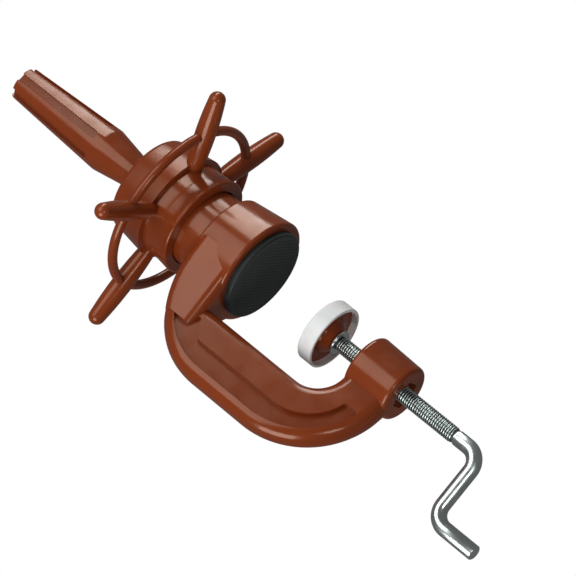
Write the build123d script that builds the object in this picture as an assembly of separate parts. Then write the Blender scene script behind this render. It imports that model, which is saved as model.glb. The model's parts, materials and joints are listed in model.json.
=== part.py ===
from build123d import *
import os
from math import acos, atan2, cos, degrees, hypot, radians, sin, sqrt, tan

# Table clamp with a swivelling, fluted post. Millimetres.
# Origin: centre of the jaw pad's face. +Z points up the post, away from the work.
# +X points out of the C-frame's throat, so the frame's spine lies at negative X.

os.makedirs("parts", exist_ok=True)

# ---- Driving dimensions ----------------------------------------------------------------------
# Jaw pad and the C-frame's big boss
pad_r = 23.0
pad_back_z = 6.0
pad_edge = 1.0
boss_front_z = 3.3
boss_back_z = 27.5
boss_front_r = 27.0
boss_back_r = 24.0
boss_edge = 1.4
core_r = 8.0
core_floor_z = 10.0
# Neck, and the ball joint inside the hand wheel
neck_r = 19.7
neck_top_z = 53.0
ball_z = 57.0
ball_r = 14.0
ball_gap = 0.3
seat_r = 16.8
seat_pocket_r = 16.9
seat_bottom_z = 41.3
seat_top_z = 52.5
clamp_ring_r = 20.6
clamp_ring_bottom_z = 60.0
clamp_ring_contact_z = 64.5
clamp_ring_top_z = 70.0
clamp_ring_top_bore = 15.0
# Hand wheel
wheel_z = 55.5
hub_lip_z = 39.4
hub_back_z = 76.4
hub_lip_r = 25.5
hub_waist_r = 24.5
hub_mid_r = 27.2
hub_back_r = 24.4
hub_bore_r = 20.3
hub_ring_seat_r = 20.9
hub_mouth_r = 15.4
hub_mouth_back_r = 18.4
hub_back_edge = 2.5
grip_ring_r = 43.0
grip_ring_tube_r = 2.3
spoke_count = 5
spoke_first_angle = 10.0
spoke_root_r = 22.0
spoke_fat_r = 43.0
spoke_end_r = 67.0
spoke_radii = (3.7, 5.0, 4.0)
# Post
stem_r = 6.7
spigot_r = 6.0
spigot_bottom_z = 47.5
shoulder_z = 103.7
shoulder_r = 11.25
shoulder_round = 7.0
tip_z = 160.0
tip_r = 8.6
flute_count = 6
flute_first_angle = 17.0
flute_width = 4.0
flute_depth = 1.9
flute_bottom_z = 107.5
# Screw that holds the ball on the post
ball_screw_r = 2.0
ball_screw_top_z = 76.0
ball_screw_head_r = 3.8
ball_screw_head_z = 44.6
ball_screw_head_height = 2.8
# C-frame arm: outline in the XZ plane
frame_width = 13.0
spine_inner_x = -30.9
spine_outer_x = -62.4
top_arc_r = 43.0
low_arc_r = 44.0
frame_low_z = -91.0
throat_arc_r = 14.0
throat_low_z = -65.5
arm_round = 5.6
gusset_x = -38.0
gusset_end_x = -44.0
gusset_round = 5.0
boss_tangent_share = 0.94
# Recess in each side of the arm
web_recess = 2.2
bead_width = 5.0
recess_inner_x = -47.0
recess_low_r = 25.0
recess_low_z = -77.5
recess_end_x = -26.0
# Small boss and clamp screw
screw_x = -2.3
small_boss_in_z = -66.0
small_boss_out_z = -91.0
small_boss_in_r = 14.8
small_boss_out_r = 14.0
small_boss_edge = 2.0
nut_flats = 13.0
nut_height = 6.5
nut_recess = 2.5
nut_bore_r = 3.98
screw_clear_r = 4.4
thread_r = 3.9
shank_r = 3.7
thread_top_z = -50.7
thread_end_z = -122.8
thread_taper = 1.0
crank_z = -138.2
crank_arm = 35.0
crank_bend_r = 8.0
crank_end_z = -164.3
crank_angle = 157.0
# Foot on the end of the screw
foot_front_z = -38.7
foot_lip_z = -47.0
cap_r = 16.1
cap_wall = 1.3
cap_floor = 2.0
cap_edge = 1.2
disc_back_z = -43.6
dome_r = 9.4
dome_top_r = 5.2
dome_top_z = -48.6
swivel_z = -45.6
swivel_r = 3.6
swivel_gap = 0.25
swivel_flat_z = -42.6
dome_hole_r = 2.9
dome_hole_z = -48.2
retainer_r = 5.2
retainer_z = (-44.2, -43.2)
washer_r = 5.9
washer_thick = 1.1
washer_back_z = -50.65
journal_r = 2.2
journal_gap = 0.05
journal_end_z = -41.4
clip_r = 3.4
clip_z = (-42.5, -41.8)
clip_groove_r = 1.6


# ---- Helpers ---------------------------------------------------------------------------------
def turned(points, x=0.0):
    """Solid of revolution about a line parallel to Z at x, from (radius, z) points."""
    profile = make_face(Polyline(*[(r, 0, z) for r, z in points], close=True))
    return Pos(x, 0, 0) * revolve(profile, Axis.Z)


def rod(r, z0, z1, x=0.0):
    """Upright cylinder from z0 to z1."""
    return Pos(x, 0, (z0 + z1) / 2) * Cylinder(r, abs(z1 - z0))


def ball(r, z, x=0.0):
    return Pos(x, 0, z) * Sphere(r)


def round_edges(shape, radius, chosen):
    return fillet(shape.edges().filter_by(chosen), radius)


def rim(z, r, tolerance=0.15):
    """Picks the circular edges of radius r at height z."""

    def chosen(edge):
        if edge.geom_type != GeomType.CIRCLE:
            return False
        return abs(edge.center().Z - z) < tolerance and abs(edge.radius - r) < tolerance

    return chosen


# ---- C-frame ---------------------------------------------------------------------------------
def arc_through(centre, r, start, end):
    """Arc about a centre in the XZ plane, from one angle to another, in degrees."""
    points = []
    for angle in (start, (start + end) / 2, end):
        points.append((centre[0] + r * cos(radians(angle)), 0, centre[1] + r * sin(radians(angle))))
    return ThreePointArc(*points)


def path_face(pieces):
    """Face in the XZ plane bounded by the pieces, closed by straight lines where they part."""
    edges = []
    for piece, following in zip(pieces, pieces[1:] + pieces[:1]):
        edges.append(piece)
        if (piece @ 1 - following @ 0).length > 1e-6:
            edges.append(Line(piece @ 1, following @ 0))
    return make_face(edges)


top_arc_centre = (spine_outer_x + top_arc_r, boss_back_z - top_arc_r)
low_arc_centre = (spine_outer_x + low_arc_r, frame_low_z + low_arc_r)
throat_arc_centre = (spine_inner_x + throat_arc_r, throat_low_z + throat_arc_r)


def arm_solid(width):
    """The arm's C, without its recesses."""
    face = path_face([
        Line((0, 0, boss_front_z), (0, 0, boss_back_z)),
        arc_through(top_arc_centre, top_arc_r, 90, 180),
        arc_through(low_arc_centre, low_arc_r, 180, 270),
        Line((screw_x, 0, frame_low_z), (screw_x, 0, throat_low_z)),
        arc_through(throat_arc_centre, throat_arc_r, 270, 180),
        Line((spine_inner_x, 0, throat_low_z + 2 * throat_arc_r), (spine_inner_x, 0, boss_front_z)),
    ])
    return extrude(face, width / 2, dir=(0, 1, 0), both=True)


def side_recess():
    """What is cut from each side of the arm, between its inner and outer beads."""
    top_angle = degrees(acos((gusset_x - top_arc_centre[0]) / (top_arc_r - bead_width)))
    low_centre = (recess_inner_x + recess_low_r, recess_low_z + recess_low_r)
    low_angle = degrees(acos((recess_end_x - low_centre[0]) / recess_low_r))
    outer_angle = degrees(acos((recess_end_x - low_arc_centre[0]) / (low_arc_r - bead_width)))
    face = path_face([
        arc_through(top_arc_centre, top_arc_r - bead_width, top_angle, 180),
        arc_through(low_arc_centre, low_arc_r - bead_width, 180, 360 - outer_angle),
        arc_through(low_centre, recess_low_r, 360 - low_angle, 180),
        Line((recess_inner_x, 0, -4), (gusset_x, 0, 2)),
    ])
    slab = extrude(face, web_recess, dir=(0, 1, 0))
    slab = fillet(slab.edges().filter_by(Axis.Y), 1.5)
    return slab


def gusset():
    """Flanks that run from the big boss down to the arm's width."""
    reach = hypot(gusset_end_x, frame_width / 2)
    tilt = atan2(frame_width / 2, -gusset_end_x)
    touch = tilt + acos(boss_front_r * boss_tangent_share / reach)
    tx, ty = -boss_front_r * boss_tangent_share * cos(touch), boss_front_r * boss_tangent_share * sin(touch)
    outline = Polyline(
        (gusset_end_x, -frame_width / 2), (gusset_end_x, frame_width / 2), (tx, ty), (0, 0), (tx, -ty), close=True
    )
    prism = Pos(0, 0, boss_front_z) * extrude(make_face(outline), boss_back_z - boss_front_z)
    flanks = prism & arm_solid(4 * boss_front_r)
    outer = [edge for edge in flanks.edges() if abs(edge.center().Y) > frame_width / 4]
    upright = [edge for edge in outer if abs((edge @ 1).Z - (edge @ 0).Z) > 0.01 and edge.geom_type == GeomType.LINE]
    edges = [edge for edge in outer if edge not in upright and edge.center().X > gusset_end_x + 0.5]
    return fillet(edges, gusset_round)


def make_c_frame():
    arm = arm_solid(frame_width)
    sides = [edge for edge in arm.edges() if abs(abs(edge.center().Y) - frame_width / 2) < 0.01]
    long_sides = [edge for edge in sides if edge.center().X < gusset_x / 2 or edge.center().Z < 0]
    long_sides = [edge for edge in long_sides if abs(edge.center().X - screw_x) > 0.5]
    arm = fillet(long_sides, arm_round)
    recess = side_recess()
    arm -= Pos(0, frame_width / 2 - web_recess, 0) * recess
    arm -= Pos(0, -frame_width / 2, 0) * recess
    boss = turned([(0, boss_front_z), (boss_front_r, boss_front_z), (boss_back_r, boss_back_z), (0, boss_back_z)])
    boss = round_edges(boss, boss_edge, rim(boss_front_z, boss_front_r))
    boss = round_edges(boss, boss_edge, rim(boss_back_z, boss_back_r))
    small = turned([
        (0, small_boss_in_z), (small_boss_in_r, small_boss_in_z),
        (small_boss_out_r, small_boss_out_z), (0, small_boss_out_z),
    ], screw_x)
    small = round_edges(small, small_boss_edge, rim(small_boss_in_z, small_boss_in_r))
    small = round_edges(small, small_boss_edge, rim(small_boss_out_z, small_boss_out_r))
    frame = arm + gusset() + boss + small + rod(neck_r, boss_back_z - 1, neck_top_z)
    frame -= rod(pad_r, boss_front_z - 5, pad_back_z)
    frame -= rod(core_r, core_floor_z, seat_bottom_z)
    frame -= rod(seat_pocket_r, seat_bottom_z, neck_top_z + 1)
    frame -= rod(screw_clear_r, small_boss_out_z - 1, throat_low_z + 1, screw_x)
    frame -= nut_prism(small_boss_out_z - 1, small_boss_out_z + nut_recess + nut_height)
    return frame


def nut_prism(z0, z1):
    """Hexagonal prism round the clamp screw's axis."""
    hexagon = RegularPolygon(nut_flats / sqrt(3), 6)
    return Pos(screw_x, 0, min(z0, z1)) * extrude(hexagon, abs(z1 - z0))


def make_jaw_pad():
    pad = rod(pad_r, 0, pad_back_z)
    return round_edges(pad, pad_edge, rim(0, pad_r))


def make_captive_nut():
    z0 = small_boss_out_z + nut_recess
    nut = nut_prism(z0, z0 + nut_height)
    return nut - rod(nut_bore_r, z0 - 1, z0 + nut_height + 1, screw_x)


# ---- Ball joint ------------------------------------------------------------------------------
def make_ball_seat():
    cup = rod(seat_r, seat_bottom_z, seat_top_z) - ball(ball_r + ball_gap, ball_z)
    return cup - rod(core_r - 1, seat_bottom_z - 1, seat_top_z)


def make_clamp_ring():
    cup_r = ball_r + ball_gap
    contact_r = sqrt(cup_r**2 - (clamp_ring_contact_z - ball_z) ** 2)
    ring = rod(clamp_ring_r, clamp_ring_bottom_z, clamp_ring_top_z)
    ring -= ball(cup_r, ball_z)
    mouth = turned([
        (0, clamp_ring_contact_z), (contact_r, clamp_ring_contact_z),
        (clamp_ring_top_bore, clamp_ring_top_z + 0.01), (0, clamp_ring_top_z + 0.01),
    ])
    return ring - mouth


def make_pivot_ball():
    solid = ball(ball_r, ball_z)
    solid -= rod(spigot_r, spigot_bottom_z, ball_z + ball_r)
    solid -= rod(ball_screw_r, ball_screw_head_z, spigot_bottom_z)
    solid -= rod(ball_screw_head_r + 0.4, ball_z - ball_r, ball_screw_head_z + ball_screw_head_height)
    return solid


def make_ball_screw():
    head_z = ball_screw_head_z + ball_screw_head_height
    head = rod(ball_screw_head_r, ball_screw_head_z, head_z)
    head = round_edges(head, 0.8, rim(ball_screw_head_z, ball_screw_head_r))
    slot_length = 4.4
    slot = Pos(0, 0, ball_screw_head_z) * Box(slot_length, 1.0, 2.6)
    cross = slot + Rot(0, 0, 90) * slot
    return head + rod(ball_screw_r, head_z, ball_screw_top_z) - cross


def make_post():
    base_z = ball_z + sqrt(ball_r**2 - spigot_r**2)
    body = turned([
        (0, base_z), (stem_r, base_z + 0.6), (stem_r, hub_back_z),
        (shoulder_r, shoulder_z), (tip_r, tip_z), (0, tip_z),
    ])
    body = round_edges(body, shoulder_round, rim(shoulder_z, shoulder_r))
    body = round_edges(body, 8.0, rim(hub_back_z, stem_r))
    body = round_edges(body, 0.7, rim(tip_z, tip_r))
    body += rod(spigot_r, spigot_bottom_z, base_z + 1)
    body -= rod(ball_screw_r, spigot_bottom_z - 1, ball_screw_top_z)
    slope = degrees(atan2(shoulder_r - tip_r, tip_z - shoulder_z))
    length = tip_z - flute_bottom_z + 6
    slot = Pos(0, 0, length / 2) * Box(4, flute_width, length)
    slot = fillet(slot.edges().filter_by(Axis.X).sort_by(Axis.Z)[:2], flute_width * 0.35)
    floor_r = shoulder_r - flute_depth - (flute_bottom_z - shoulder_z) * tan(radians(slope))
    slot = Pos(floor_r + 2, 0, flute_bottom_z) * (Rot(0, -slope, 0) * slot)
    for turn in range(flute_count):
        body -= Rot(0, 0, flute_first_angle + turn * 360 / flute_count) * slot
    return body


# ---- Hand wheel ------------------------------------------------------------------------------
def hub_solid():
    """The hub's outer shape, without its bore."""
    waist_z = (hub_lip_z + wheel_z) / 2
    hub = turned([
        (0, hub_lip_z), (hub_lip_r, hub_lip_z), (hub_waist_r, waist_z), (hub_waist_r, wheel_z - 0.6),
        (hub_mid_r, wheel_z - 0.3), (hub_mid_r, wheel_z), (hub_back_r, hub_back_z), (0, hub_back_z),
    ])
    hub = round_edges(hub, 1.0, rim(hub_lip_z, hub_lip_r))
    return round_edges(hub, hub_back_edge, rim(hub_back_z, hub_back_r))


def make_wheel_hub():
    hub = hub_solid()
    hub -= rod(hub_bore_r, hub_lip_z - 1, clamp_ring_bottom_z - 0.3)
    hub -= rod(hub_ring_seat_r, clamp_ring_bottom_z - 0.3, clamp_ring_top_z)
    mouth = turned([
        (0, clamp_ring_top_z), (hub_mouth_r, clamp_ring_top_z), (hub_mouth_back_r, hub_back_z), (0, hub_back_z),
    ])
    return hub - mouth


def make_spoke(number):
    root, fat, end = spoke_radii
    dome_x = spoke_end_r - end
    s = sqrt(0.5)
    outline = make_face([
        Line((spoke_root_r, 0), (spoke_end_r, 0)),
        ThreePointArc((spoke_end_r, 0), (dome_x + end * s, end * s), (dome_x, end)),
        ThreePointArc((dome_x, end), (spoke_fat_r + 6, fat - 0.15), (spoke_root_r, root)),
        Line((spoke_root_r, root), (spoke_root_r, 0)),
    ])
    spoke = revolve(outline, Axis.X)
    return Pos(0, 0, wheel_z) * (Rot(0, 0, spoke_first_angle + number * 360 / spoke_count) * spoke)


# ---- Clamp screw -----------------------------------------------------------------------------
def make_clamp_screw():
    thread = rod(thread_r, thread_end_z, thread_top_z)
    thread = chamfer(thread.edges().filter_by(rim(thread_top_z, thread_r)), 0.6)
    taper_z = thread_end_z - thread_taper
    taper = turned([(0, thread_end_z), (thread_r, thread_end_z), (shank_r, taper_z), (0, taper_z)])
    path = FilletPolyline(
        (0, 0, taper_z), (0, 0, crank_z), (crank_arm, 0, crank_z), (crank_arm, 0, crank_end_z),
        radius=crank_bend_r,
    )
    section = Plane((0, 0, taper_z), z_dir=(0, 0, -1)) * Circle(shank_r)
    crank = sweep(section, path)
    crank = chamfer(crank.edges().filter_by(rim(crank_end_z, shank_r)), 0.5)
    screw = thread + taper + crank + rod(journal_r, thread_top_z, journal_end_z)
    screw -= rod(clip_r, *clip_z) - rod(clip_groove_r, *clip_z)
    return Pos(screw_x, 0, 0) * (Rot(0, 0, crank_angle) * screw)


def make_journal_clip():
    clip = rod(clip_r, *clip_z, screw_x) - rod(clip_groove_r, *clip_z, screw_x)
    mouth = Pos(screw_x + clip_r, 0, sum(clip_z) / 2) * Box(2 * clip_r, 2.4, 2)
    return clip - mouth


# ---- Foot ------------------------------------------------------------------------------------
def make_swivel_ball():
    solid = ball(swivel_r, swivel_z, screw_x)
    solid -= rod(swivel_r, swivel_flat_z, swivel_z + swivel_r, screw_x)
    return solid - rod(journal_r + journal_gap, swivel_z - swivel_r, swivel_z + swivel_r, screw_x)


def make_foot_washer():
    washer = rod(washer_r, washer_back_z, washer_back_z + washer_thick, screw_x)
    washer = round_edges(washer, 0.35, rim(washer_back_z, washer_r))
    return washer - rod(journal_r + journal_gap, washer_back_z - 1, washer_back_z + 2, screw_x)


def make_foot_disc():
    front_z = foot_front_z - cap_floor
    disc_r = cap_r - cap_wall
    disc = turned([(0, front_z), (disc_r, front_z), (disc_r, disc_back_z), (0, disc_back_z)], screw_x)
    dome = turned([
        (0, disc_back_z), (dome_r, disc_back_z), (dome_r - 0.8, disc_back_z - 1.8),
        (dome_top_r, dome_top_z), (0, dome_top_z),
    ], screw_x)
    dome = round_edges(dome, 1.5, rim(disc_back_z - 1.8, dome_r - 0.8))
    dome = round_edges(dome, 0.8, rim(dome_top_z, dome_top_r))
    disc += dome
    disc -= rod(retainer_r, retainer_z[0], front_z, screw_x)
    disc -= rod(swivel_r + swivel_gap, swivel_z, retainer_z[0], screw_x)
    disc -= ball(swivel_r + swivel_gap, swivel_z, screw_x)
    return disc - rod(dome_hole_r, dome_top_z - 1, dome_hole_z, screw_x)


def make_ball_retainer():
    return rod(retainer_r, *retainer_z, screw_x) - ball(swivel_r + swivel_gap, swivel_z, screw_x)


def make_foot_cap():
    cap = rod(cap_r, foot_lip_z, foot_front_z, screw_x)
    cap = round_edges(cap, cap_edge, rim(foot_front_z, cap_r))
    cap = round_edges(cap, 0.5, rim(foot_lip_z, cap_r))
    return cap - rod(cap_r - cap_wall, foot_lip_z - 1, foot_front_z - cap_floor, screw_x)


# ---- Every piece, one STEP file each ---------------------------------------------------------
wheel_hub = make_wheel_hub()
spokes = [make_spoke(number) - hub_solid() for number in range(spoke_count)]
grip_ring = Pos(0, 0, wheel_z) * Torus(grip_ring_r, grip_ring_tube_r)
for spoke in spokes:
    grip_ring -= spoke

pieces = {
    "c_frame": make_c_frame(),
    "jaw_pad": make_jaw_pad(),
    "captive_nut": make_captive_nut(),
    "ball_seat": make_ball_seat(),
    "clamp_ring": make_clamp_ring(),
    "pivot_ball": make_pivot_ball(),
    "ball_screw": make_ball_screw(),
    "post": make_post(),
    "wheel_hub": wheel_hub,
    "grip_ring": grip_ring,
    "clamp_screw": make_clamp_screw(),
    "journal_clip": make_journal_clip(),
    "swivel_ball": make_swivel_ball(),
    "foot_washer": make_foot_washer(),
    "foot_disc": make_foot_disc(),
    "ball_retainer": make_ball_retainer(),
    "foot_cap": make_foot_cap(),
}
for number, spoke in enumerate(spokes, start=1):
    pieces[f"spoke_{number}"] = spoke
for name, piece in pieces.items():
    export_step(piece, f"parts/{name}.step")
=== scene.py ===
"""Looks of the table clamp with a swivelling post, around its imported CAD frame. Metres, in the row frame."""

import json
import math

import bpy
from mathutils import Matrix, Vector


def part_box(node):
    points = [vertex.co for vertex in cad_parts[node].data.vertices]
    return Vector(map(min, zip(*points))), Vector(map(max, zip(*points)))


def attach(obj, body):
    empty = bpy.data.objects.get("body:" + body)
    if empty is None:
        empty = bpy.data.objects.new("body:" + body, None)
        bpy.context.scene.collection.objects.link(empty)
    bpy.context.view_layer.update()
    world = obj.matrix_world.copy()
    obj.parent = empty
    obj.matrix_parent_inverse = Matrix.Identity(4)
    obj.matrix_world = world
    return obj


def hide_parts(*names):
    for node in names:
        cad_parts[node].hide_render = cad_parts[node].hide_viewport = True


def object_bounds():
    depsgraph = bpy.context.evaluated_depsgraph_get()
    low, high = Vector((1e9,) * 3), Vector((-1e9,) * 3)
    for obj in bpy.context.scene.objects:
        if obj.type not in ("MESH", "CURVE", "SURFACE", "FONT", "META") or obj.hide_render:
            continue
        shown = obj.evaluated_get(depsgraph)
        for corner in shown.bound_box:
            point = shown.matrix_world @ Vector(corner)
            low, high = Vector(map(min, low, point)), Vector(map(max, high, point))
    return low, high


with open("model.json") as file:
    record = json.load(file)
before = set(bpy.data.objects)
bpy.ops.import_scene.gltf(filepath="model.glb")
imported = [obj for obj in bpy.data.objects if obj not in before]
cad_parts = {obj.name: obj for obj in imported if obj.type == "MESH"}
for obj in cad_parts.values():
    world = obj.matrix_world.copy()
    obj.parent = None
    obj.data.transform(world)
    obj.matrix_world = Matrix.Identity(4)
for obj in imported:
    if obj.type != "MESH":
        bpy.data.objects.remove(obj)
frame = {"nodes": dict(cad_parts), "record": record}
cad_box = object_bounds()
nodes = frame["nodes"]

MM = 0.001

# ---- Driving dimensions ----------------------------------------------------------------------
SCREW_X = -2.3 * MM
THREAD_R = 3.9 * MM
THREAD_ROOT_R = 3.15 * MM
# Thread faces inside this radius get the painted shade of the thread grooves
THREAD_SHADE_R = 3.5 * MM
THREAD_PITCH = 1.25 * MM
THREAD_STEPS = 12
THREAD_CREST = 1.18
THREAD_TOP_Z = -50.7 * MM
THREAD_END_Z = -122.8 * MM
SHANK_R = 3.7 * MM
SHANK_START_Z = THREAD_END_Z - 1.0 * MM
ROD_SIDES = 48
BEND_STEPS = 20
CRANK_Z = -138.2 * MM
CRANK_ARM = 35.0 * MM
CRANK_BEND_R = 8.0 * MM
CRANK_ANGLE = math.radians(157.0)
CRANK_END_CHAMFER = 0.5 * MM
JOURNAL_R = 2.2 * MM
JOURNAL_CHAMFER = 0.3 * MM
JOURNAL_END_Z = -41.4 * MM
PAD_EDGE = 1.0 * MM
PAD_WEAVE_PITCH = 1.7 * MM
PAD_WEAVE_DEPTH = 0.38 * MM
PAD_GRID = 0.3 * MM
PAD_WEAVE_FADE = 2.2 * MM
PAD_WEAVE_TURNS = 0.7
PAD_SIDES = 180
PAD_EDGE_STEPS = 8

# Camera: a long lens below the object's horizon, rolled so that the post leans to the upper left
CAMERA_AZIMUTH = math.radians(-23.0)
CAMERA_ELEVATION = math.radians(-24.5)
CAMERA_ROLL = math.radians(51.2)
CAMERA_DISTANCE = 2.0
CAMERA_LENS = 273.7
CAMERA_AIM = Vector((4.3, 3.4, -10.5)) * MM

# Room
FRONT_FILL_DROP = 0.3
WORLD_AS_LIGHT = 0.13
WORLD_AS_SEEN = 1.0
FLOOR_GAP = 4.0 * MM
FLOOR_HALF = 3.0


# ---- Materials -------------------------------------------------------------------------------
class Material:
    """A node material with short calls for the nodes that these finishes share."""

    def __init__(self, name, colour, roughness, metallic=0.0):
        self.material = bpy.data.materials.new(name)
        self.material.use_nodes = True
        self.tree = self.material.node_tree
        self.shader = self.tree.nodes["Principled BSDF"]
        self.shader.inputs["Base Color"].default_value = (*colour, 1)
        self.shader.inputs["Roughness"].default_value = roughness
        self.shader.inputs["Metallic"].default_value = metallic
        self.place = self.add("ShaderNodeTexCoord").outputs["Object"]

    def add(self, kind, **values):
        node = self.tree.nodes.new(kind)
        for key, value in values.items():
            if key in node.inputs:
                node.inputs[key].default_value = value
            else:
                setattr(node, key, value)
        return node

    def link(self, source, target):
        self.tree.links.new(source, target)

    def set(self, **values):
        for key, value in values.items():
            self.shader.inputs[key.replace("_", " ")].default_value = value

    def stretched(self, scale):
        mapping = self.add("ShaderNodeMapping", Scale=scale)
        self.link(self.place, mapping.inputs["Vector"])
        return mapping.outputs["Vector"]

    def noise(self, scale, detail=4.0, vector=None, roughness=0.5):
        node = self.add("ShaderNodeTexNoise", Scale=scale, Detail=detail, Roughness=roughness)
        self.link(vector or self.place, node.inputs["Vector"])
        return node.outputs["Fac"]

    def ramp(self, fac, low, high, colours):
        node = self.add("ShaderNodeValToRGB")
        node.color_ramp.elements[0].position = low
        node.color_ramp.elements[1].position = high
        for element, colour in zip(node.color_ramp.elements, colours):
            element.color = (*colour, 1)
        self.link(fac, node.inputs["Fac"])
        return node.outputs["Color"]

    def remap(self, fac, low, high, to_low, to_high):
        node = self.add("ShaderNodeMapRange")
        for key, value in zip(("From Min", "From Max", "To Min", "To Max"), (low, high, to_low, to_high)):
            node.inputs[key].default_value = value
        self.link(fac, node.inputs["Value"])
        return node.outputs["Result"]

    def colour(self, fac, low, high, colours):
        self.link(self.ramp(fac, low, high, colours), self.shader.inputs["Base Color"])

    def gloss(self, fac, low, high, to_low, to_high):
        self.link(self.remap(fac, low, high, to_low, to_high), self.shader.inputs["Roughness"])

    def bump(self, height, strength, distance, before=None):
        node = self.add("ShaderNodeBump", Strength=strength, Distance=distance)
        self.link(height, node.inputs["Height"])
        if before is not None:
            self.link(before, node.inputs["Normal"])
        return node.outputs["Normal"]

    def normal(self, output):
        self.link(output, self.shader.inputs["Normal"])


def moulded_plastic():
    """Glossy red-brown moulding: faint flow marks, slight ripple, uneven gloss, warm sheen."""
    m = Material("moulded_plastic", (0.26, 0.04, 0.012), 0.2)
    flow = m.noise(35.0, 3.0, m.stretched((1.0, 1.0, 0.35)))
    m.colour(flow, 0.3, 0.75, ((0.20, 0.034, 0.0075), (0.245, 0.044, 0.010)))
    scuffs = m.noise(110.0, 3.0)
    m.gloss(scuffs, 0.35, 0.75, 0.17, 0.29)
    ripple = m.bump(m.noise(70.0, 1.0), 0.08, 0.5 * MM)
    m.normal(m.bump(m.noise(420.0, 2.0), 0.02, 0.05 * MM, ripple))
    m.set(IOR=1.5, Specular_Tint=(1.0, 0.74, 0.56, 1), Coat_Weight=0.12, Coat_Roughness=0.08)
    return m.material


def pad_rubber():
    """Dark green-black rubber with a chalky bloom in the low spots."""
    m = Material("pad_rubber", (0.008, 0.016, 0.014), 0.62)
    bloom = m.noise(160.0, 5.0)
    m.colour(bloom, 0.35, 0.8, ((0.0025, 0.006, 0.005), (0.008, 0.017, 0.0145)))
    m.gloss(bloom, 0.3, 0.8, 0.5, 0.75)
    m.normal(m.bump(m.noise(2600.0, 3.0), 0.25, 0.05 * MM))
    m.set(IOR=1.5, Sheen_Weight=0.08)
    return m.material


def zinc_steel(name="zinc_steel", tint=(0.80, 0.88, 0.86), roughness=(0.16, 0.34)):
    """Bright zinc plate over rolled steel: cool grey with streaks and faint clouding."""
    m = Material(name, tint, 0.25, 1.0)
    cloud = m.noise(120.0, 4.0)
    darker = tuple(0.78 * value for value in tint)
    m.colour(cloud, 0.3, 0.7, (darker, tint))
    streaks = m.noise(200.0, 2.0, m.stretched((1.0, 1.0, 0.06)))
    m.gloss(streaks, 0.3, 0.7, *roughness)
    m.normal(m.bump(m.noise(260.0, 2.0, m.stretched((1.0, 1.0, 0.1))), 0.04, 0.05 * MM))
    return m.material


def thread_painted_shade():
    """Painted shade: the same plating, painted dark down in the thread where light hardly reaches it."""
    return zinc_steel("zinc_painted_thread_shade", (0.10, 0.125, 0.12), (0.4, 0.6))


def cap_plastic():
    """Soft white cap: satin, slightly translucent, with moulding haze."""
    m = Material("cap_plastic", (0.80, 0.81, 0.80), 0.42)
    haze = m.noise(140.0, 4.0)
    m.colour(haze, 0.3, 0.8, ((0.80, 0.81, 0.80), (0.88, 0.885, 0.875)))
    m.gloss(haze, 0.3, 0.8, 0.34, 0.5)
    m.normal(m.bump(m.noise(900.0, 3.0), 0.08, 0.05 * MM))
    m.set(IOR=1.46, Subsurface_Weight=0.15, Subsurface_Scale=0.002)
    return m.material


def inner_nylon():
    """Natural nylon of the cup, ring and retainer."""
    m = Material("inner_nylon", (0.62, 0.59, 0.50), 0.45)
    grain = m.noise(260.0, 4.0)
    m.colour(grain, 0.3, 0.8, ((0.56, 0.53, 0.44), (0.67, 0.64, 0.56)))
    m.normal(m.bump(m.noise(1200.0, 3.0), 0.08, 0.05 * MM))
    return m.material


FINISHES = {
    "moulded_plastic": moulded_plastic(),
    "pad_rubber": pad_rubber(),
    "zinc_steel": zinc_steel(),
    "cap_plastic": cap_plastic(),
    "inner_nylon": inner_nylon(),
}


def dress(obj, slot):
    """Gives obj a slot's finish on every face."""
    obj.data.materials.clear()
    obj.data.materials.append(FINISHES[slot])


def dress_cad_nodes():
    """Every CAD node gets the finish of its slot in the record."""
    for part in frame["record"]["subparts"]:
        obj = nodes[part["node"]]
        dress(obj, part["material_slot"])


# ---- Mesh building ---------------------------------------------------------------------------
def new_piece(name, vertices, faces, slot, body, stands_for, flat_faces):
    """A smooth-shaded mesh that rides on a body and stands for a CAD node."""
    mesh = bpy.data.meshes.new(name)
    mesh.from_pydata(vertices, [], faces)
    mesh.update()
    for polygon in mesh.polygons:
        polygon.use_smooth = polygon.index not in flat_faces
    obj = bpy.data.objects.new(name, mesh)
    bpy.context.scene.collection.objects.link(obj)
    dress(obj, slot)
    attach(obj, body)
    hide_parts(stands_for)
    return obj


def ring_faces(rows, columns):
    """Quads of a tube whose rings follow each other in the vertex list."""
    faces = []
    for row in range(rows - 1):
        for column in range(columns):
            after = (column + 1) % columns
            a, b = row * columns, (row + 1) * columns
            faces.append((a + column, a + after, b + after, b + column))
    return faces


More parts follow.
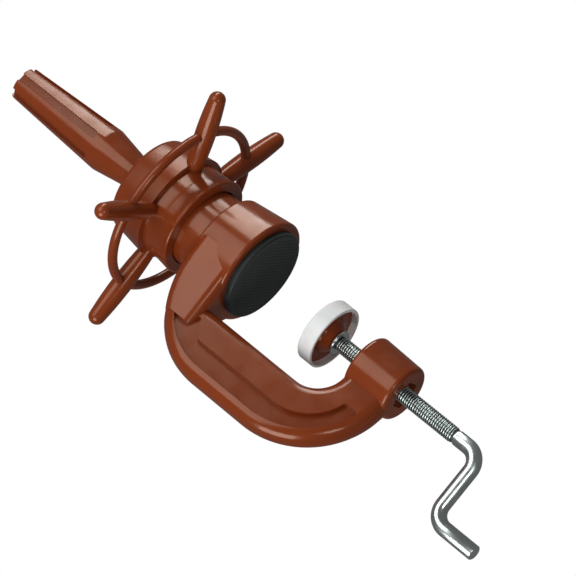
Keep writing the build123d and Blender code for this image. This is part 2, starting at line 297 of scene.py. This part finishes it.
def make_clamp_screw():
    """One bent rod: journal, rolled helical thread, plain shank, crank and handle."""
    columns = ROD_SIDES
    rings = []  # each is (centre, tangent, radius function of the angle)
    steps = THREAD_STEPS

    def plain(r):
        return lambda angle: r

    def threaded(z, strength):
        def radius(angle):
            phase = (z / THREAD_PITCH - angle / (2 * math.pi)) % 1.0
            crest = min(1.0, max(0.0, THREAD_CREST - 2 * THREAD_CREST * abs(phase - 0.5)))
            smooth = crest * crest * (3 - 2 * crest)
            return THREAD_ROOT_R + (THREAD_R - THREAD_ROOT_R) * smooth * strength
        return radius

    down = Vector((0, 0, -1))
    rings.append((JOURNAL_END_Z, plain(JOURNAL_R - JOURNAL_CHAMFER)))
    rings.append((JOURNAL_END_Z - JOURNAL_CHAMFER, plain(JOURNAL_R)))
    rings.append((THREAD_TOP_Z, plain(JOURNAL_R)))
    rings.append((THREAD_TOP_Z, plain(THREAD_ROOT_R - JOURNAL_CHAMFER)))
    count = int((THREAD_TOP_Z - THREAD_END_Z) / THREAD_PITCH * steps)
    for step in range(count + 1):
        z = THREAD_TOP_Z - (step + 0.5) * THREAD_PITCH / steps
        run_in = min(1.0, (step + 1) / steps, (count + 1 - step) / (1.5 * steps))
        rings.append((z, threaded(z, run_in)))
    rings = [(Vector((0, 0, z)), down, radius) for z, radius in rings]

    corner_a = Vector((0, 0, CRANK_Z))
    corner_b = Vector((CRANK_ARM, 0, CRANK_Z))
    end_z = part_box("clamp_screw")[0].z
    outward = Vector((1, 0, 0))
    rings.append((Vector((0, 0, SHANK_START_Z)), down, plain(SHANK_R)))
    for step in range(BEND_STEPS + 1):
        turn = step / BEND_STEPS * math.pi / 2
        centre = corner_a + Vector((CRANK_BEND_R, 0, CRANK_BEND_R))
        place = centre + CRANK_BEND_R * Vector((-math.cos(turn), 0, -math.sin(turn)))
        rings.append((place, down * math.cos(turn) + outward * math.sin(turn), plain(SHANK_R)))
    for step in range(BEND_STEPS + 1):
        turn = step / BEND_STEPS * math.pi / 2
        centre = corner_b + Vector((-CRANK_BEND_R, 0, -CRANK_BEND_R))
        place = centre + CRANK_BEND_R * Vector((math.sin(turn), 0, math.cos(turn)))
        rings.append((place, outward * math.cos(turn) + down * math.sin(turn), plain(SHANK_R)))
    rings.append((Vector((CRANK_ARM, 0, end_z + CRANK_END_CHAMFER)), down, plain(SHANK_R)))
    rings.append((Vector((CRANK_ARM, 0, end_z)), down, plain(SHANK_R - CRANK_END_CHAMFER)))

    side = Vector((0, 1, 0))
    spin = Matrix.Rotation(CRANK_ANGLE, 3, "Z")
    vertices = []
    for centre, tangent, radius in rings:
        across = side.cross(tangent)
        for column in range(columns):
            angle = 2 * math.pi * column / columns
            offset = across * -math.cos(angle) + side * math.sin(angle)
            place = centre + offset * radius(angle)
            vertices.append(spin @ place + Vector((SCREW_X, 0, 0)))
    faces = [tuple(reversed(face)) for face in ring_faces(len(rings), columns)]
    caps = [tuple(range(columns)), tuple(reversed(range(len(vertices) - columns, len(vertices))))]
    piece = new_piece("screw_rod", vertices, faces + caps, "zinc_steel", "screw", "clamp_screw",
                      {len(faces), len(faces) + 1})
    # Painted shade: faces down in the thread get the darkened plating that stands in for the shade in the
    # grooves
    piece.data.materials.append(thread_painted_shade())
    for polygon in piece.data.polygons:
        middle = polygon.center - Vector((SCREW_X, 0, 0))
        if THREAD_END_Z < middle.z < THREAD_TOP_Z and middle.xy.length < THREAD_SHADE_R:
            polygon.material_index = 1
    return piece


def make_jaw_pad():
    """Rubber disc whose face has a fine diagonal weave, pressed in below the rounded edge."""
    low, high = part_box("jaw_pad")
    radius = high.x
    weave_r = radius - PAD_EDGE
    rows_inside = int(weave_r / PAD_GRID)
    radii = [weave_r * (row + 1) / rows_inside for row in range(rows_inside)]
    vertices = [(0, 0, low.z)]

    def weave(x, y, r):
        a = (x + y) / PAD_WEAVE_PITCH
        b = (x - y) / PAD_WEAVE_PITCH
        waves = math.cos(math.pi * 2 * a * PAD_WEAVE_TURNS) + math.cos(math.pi * 2 * b * PAD_WEAVE_TURNS)
        height = 0.5 + 0.25 * waves
        fade = min(1.0, (weave_r - r) / PAD_WEAVE_FADE)
        return low.z + PAD_WEAVE_DEPTH * (1 - height) * fade

    def add_ring(r, z_at):
        for column in range(PAD_SIDES):
            angle = 2 * math.pi * column / PAD_SIDES
            x = r * math.cos(angle)
            y = r * math.sin(angle)
            vertices.append((x, y, z_at(x, y, r)))

    for r in radii:
        add_ring(r, weave)
    for step in range(1, PAD_EDGE_STEPS + 1):
        turn = step / PAD_EDGE_STEPS * math.pi / 2
        z = low.z + PAD_EDGE * (1 - math.cos(turn))
        add_ring(weave_r + PAD_EDGE * math.sin(turn), lambda *_, z=z: z)
    add_ring(radius, lambda *_: high.z)
    rows = len(radii) + PAD_EDGE_STEPS + 1
    faces = [(0, 1 + (column + 1) % PAD_SIDES, 1 + column) for column in range(PAD_SIDES)]
    faces += [tuple(1 + index for index in face) for face in ring_faces(rows, PAD_SIDES)]
    back = 1 + (rows - 1) * PAD_SIDES
    faces.append(tuple(range(back, back + PAD_SIDES)))
    return new_piece("pad_face", vertices, faces, "pad_rubber", "frame", "jaw_pad", {len(faces) - 1})


# ---- Stage -----------------------------------------------------------------------------------
def direction(azimuth, elevation):
    """Unit vector from the object to a viewer at that azimuth and elevation."""
    level = math.cos(elevation)
    return Vector((math.sin(azimuth) * level, -math.cos(azimuth) * level, math.sin(elevation)))


def make_camera():
    """Long lens aimed near the jaw pad, rolled so that the post leans to the upper left."""
    data = bpy.data.cameras.new("camera")
    data.lens = CAMERA_LENS
    data.clip_end = 20.0
    camera = bpy.data.objects.new("camera", data)
    towards = direction(CAMERA_AZIMUTH, CAMERA_ELEVATION)
    turn = towards.to_track_quat("Z", "Y").to_matrix().to_4x4() @ Matrix.Rotation(-CAMERA_ROLL, 4, "Z")
    camera.matrix_world = Matrix.Translation(CAMERA_AIM + towards * CAMERA_DISTANCE) @ turn
    bpy.context.scene.collection.objects.link(camera)
    bpy.context.scene.camera = camera


def soft_box(name, towards, distance, size, power):
    """Rectangular light that far away in one direction, facing the clamp."""
    data = bpy.data.lights.new(name, "AREA")
    data.shape = "RECTANGLE"
    data.size, data.size_y = size
    data.energy = power
    light = bpy.data.objects.new(name, data)
    towards = towards.normalized()
    turn = towards.to_track_quat("Z", "Y").to_matrix().to_4x4()
    light.matrix_world = Matrix.Translation(towards * distance) @ turn
    bpy.context.scene.collection.objects.link(light)


def make_lights():
    soft_box("key", Vector((-0.354, -0.836, 0.415)), 0.9, (0.75, 0.6), 3.4)
    soft_box("left_fill", Vector((-0.95, -0.15, -0.25)), 1.0, (0.6, 0.6), 6.0)
    soft_box("top_strip", Vector((0.618, -0.544, 0.567)), 1.0, (0.9, 0.25), 5.0)
    below_camera = direction(CAMERA_AZIMUTH, CAMERA_ELEVATION - FRONT_FILL_DROP)
    soft_box("front_fill", below_camera, 1.6, (0.4, 0.4), 3.0)


def make_world():
    """Pure white to the eye, and a softer white as a source of light."""
    world = bpy.data.worlds.new("white_room")
    bpy.context.scene.world = world
    world.use_nodes = True
    tree = world.node_tree
    background = tree.nodes["Background"]
    path = tree.nodes.new("ShaderNodeLightPath")
    strength = tree.nodes.new("ShaderNodeMapRange")
    strength.inputs["To Min"].default_value = WORLD_AS_LIGHT
    strength.inputs["To Max"].default_value = WORLD_AS_SEEN
    tree.links.new(path.outputs["Is Camera Ray"], strength.inputs["Value"])
    tree.links.new(strength.outputs["Result"], background.inputs["Strength"])
    background.inputs["Color"].default_value = (1, 1, 1, 1)
    bpy.context.scene.view_settings.view_transform = "Standard"


def make_floor():
    """Pale floor below the handle, seen from above only, so that no light or view from below is cut off."""
    low = cad_box[0].z - FLOOR_GAP
    corners = [(x * FLOOR_HALF, y * FLOOR_HALF, low) for x, y in ((-1, -1), (1, -1), (1, 1), (-1, 1))]
    mesh = bpy.data.meshes.new("floor")
    mesh.from_pydata(corners, [], [(0, 1, 2, 3)])
    floor = bpy.data.objects.new("floor", mesh)
    m = Material("floor_paper", (0.86, 0.86, 0.85), 0.7)
    m.set(Emission_Color=(1, 1, 1, 1), Emission_Strength=0.5)
    geometry = m.add("ShaderNodeNewGeometry")
    clear = m.add("ShaderNodeBsdfTransparent")
    mix = m.add("ShaderNodeMixShader")
    m.link(geometry.outputs["Backfacing"], mix.inputs["Fac"])
    m.link(m.shader.outputs["BSDF"], mix.inputs[1])
    m.link(clear.outputs["BSDF"], mix.inputs[2])
    m.link(mix.outputs["Shader"], m.tree.nodes["Material Output"].inputs["Surface"])
    mesh.materials.append(m.material)
    floor.visible_diffuse = False
    floor.visible_glossy = False
    floor.visible_shadow = False
    bpy.context.scene.collection.objects.link(floor)


dress_cad_nodes()
make_clamp_screw()
make_jaw_pad()
make_camera()
make_lights()
make_world()
make_floor()
